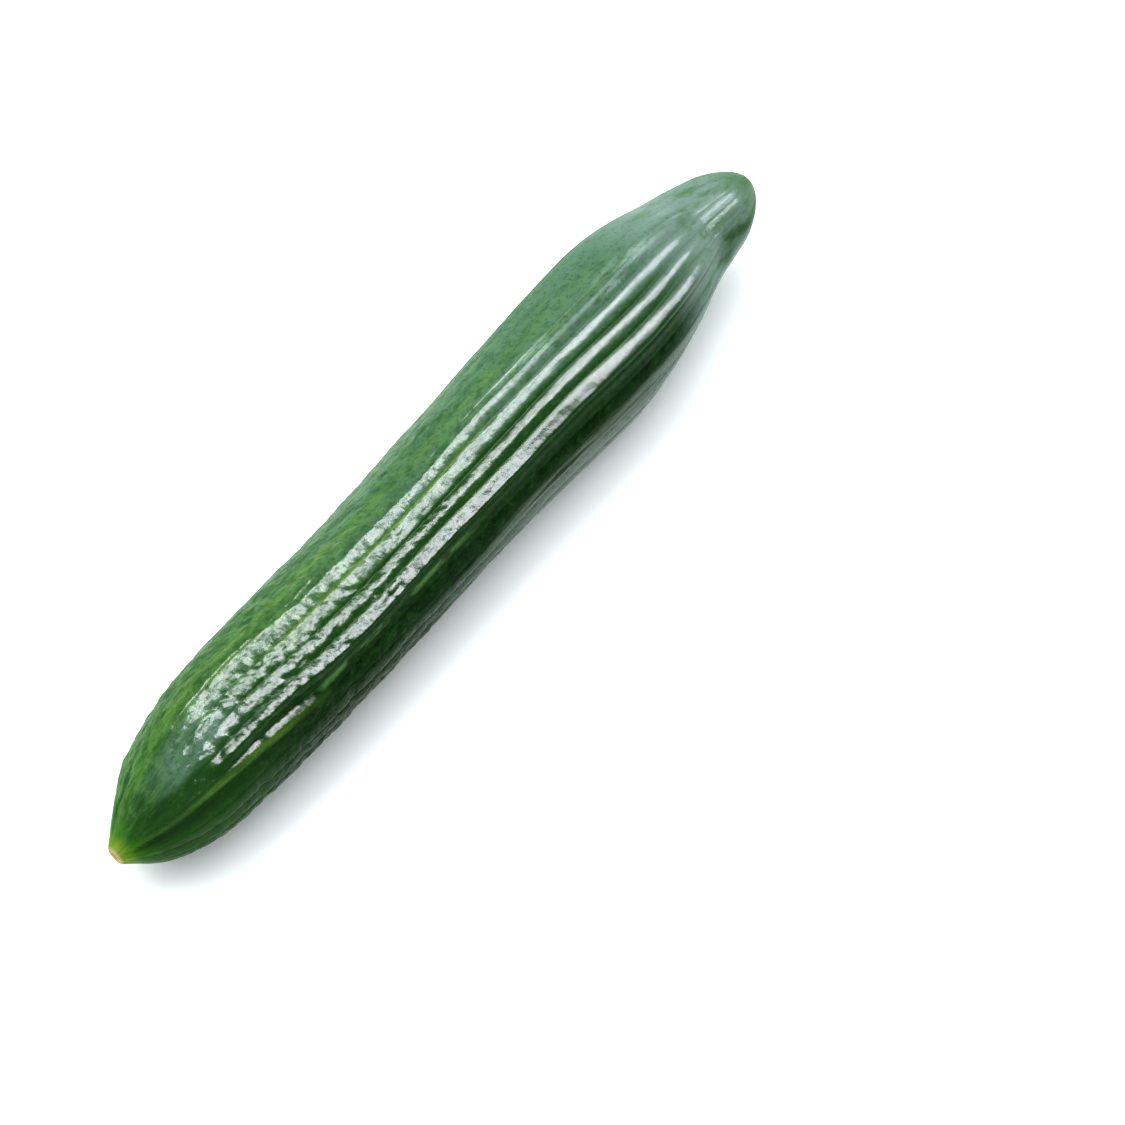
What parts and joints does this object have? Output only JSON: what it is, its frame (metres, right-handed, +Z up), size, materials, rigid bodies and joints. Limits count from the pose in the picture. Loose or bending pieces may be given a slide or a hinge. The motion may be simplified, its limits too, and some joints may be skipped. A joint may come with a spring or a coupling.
{
  "type": "cucumber",
  "caption": "Whole long greenhouse cucumber, slightly bent, with lengthways ridged dark green skin, a gathered blossom tip and a narrow rounded stem neck.",
  "frame": {"origin": "middle of the bounding box, on the surface the cucumber lies on", "axes": "+Z up, +X along the cucumber from the blossom end to the stem end, -Y towards the side that the picture shows"},
  "size_m": [0.325, 0.0532, 0.051],
  "materials": {
    "cucumber_skin": "waxy gloss, dark green with paler green and yellow-green lengthways streaks"
  },
  "bodies": {
    "root": {"cucumber": "cucumber_skin"}
  },
  "joints": []
}
